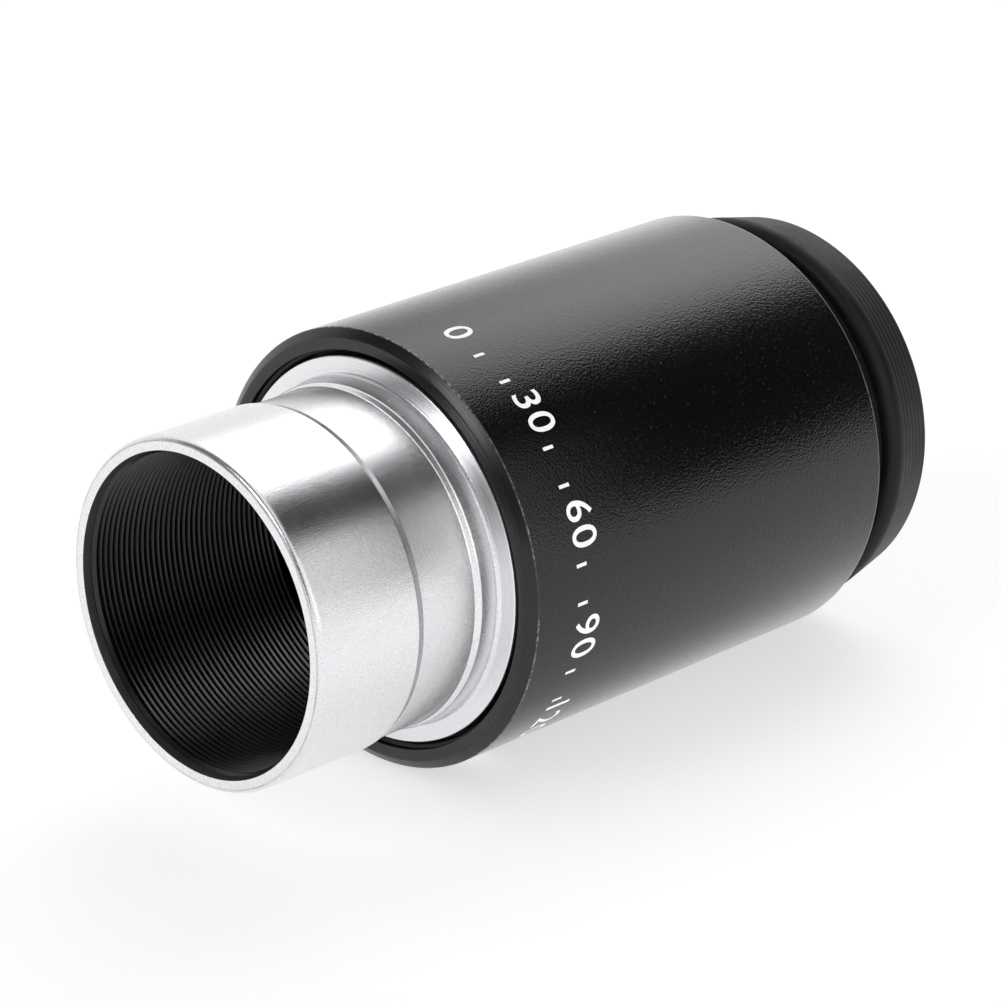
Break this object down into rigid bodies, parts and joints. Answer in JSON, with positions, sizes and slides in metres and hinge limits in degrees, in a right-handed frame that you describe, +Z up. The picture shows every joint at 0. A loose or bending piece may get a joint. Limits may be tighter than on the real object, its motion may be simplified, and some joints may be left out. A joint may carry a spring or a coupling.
{
  "type": "telescope eyepiece",
  "caption": "Telescope eyepiece with a polished slip-in barrel, black grained body, coated lens groups and a ribbed rubber eyecup that folds down.",
  "frame": {"origin": "centre of the bounding box in X and Y, at the bottom of the body shell as the eyepiece lies on its side", "axes": "+Y along the optical axis towards the eye, so the open barrel faces -Y; +Z up"},
  "size_m": [0.0406, 0.0754, 0.0405],
  "materials": {
    "polished_barrel": "bright turned and polished, blackened inside the bore",
    "grained_shell": "black anodised and coated with a fine leather-like grain",
    "matt_black_metal": "matt black anodised",
    "eyecup_rubber": "soft matt moulded rubber with fine rings",
    "crown_glass": "polished, coated with a faint green and violet reflection",
    "flint_glass": "polished, coated with a faint green and violet reflection",
    "slip_washer": "matt black",
    "screw_steel": "blackened steel"
  },
  "bodies": {
    "housing": {"body_shell": "grained_shell", "glare_baffle": "matt_black_metal", "lens_cell": "matt_black_metal", "cell_lock_ring": "matt_black_metal", "field_flint": "flint_glass", "field_crown": "crown_glass", "lens_spacer": "matt_black_metal", "eye_crown": "crown_glass", "eye_flint": "flint_glass", "lens_retaining_ring": "matt_black_metal", "eye_end_cap": "matt_black_metal", "cap_grub_screw_1": "screw_steel", "cap_grub_screw_2": "screw_steel", "cap_grub_screw_3": "screw_steel", "eyecup_collar": "eyecup_rubber", "eyecup_wall": "eyecup_rubber"},
    "slip_washer": {"flange_washer": "slip_washer"},
    "nosepiece": {"nosepiece_barrel": "polished_barrel", "field_stop_ring": "matt_black_metal"},
    "eyecup_lip": {"eyecup_lip": "eyecup_rubber"}
  },
  "joints": [
    {"name": "barrel_travel", "type": "slide", "parent": "housing", "child": "slip_washer", "axis": [0, -1, 0], "range_m": [0, 0.006]},
    {"name": "barrel_thread", "type": "hinge", "parent": "slip_washer", "child": "nosepiece", "pos_m": [0, -0.0169, 0.02026], "axis": [0, -1, 0], "range_deg": [0, 2160]},
    {"name": "eyecup_fold", "type": "slide", "parent": "housing", "child": "eyecup_lip", "axis": [0, -1, 0], "range_m": [0, 0.0035], "deforming": ["eyecup_wall"]}
  ],
  "couplings": [
    {"joint": "barrel_travel", "follows": "barrel_thread", "m_per_rad": 0.00015915}
  ]
}
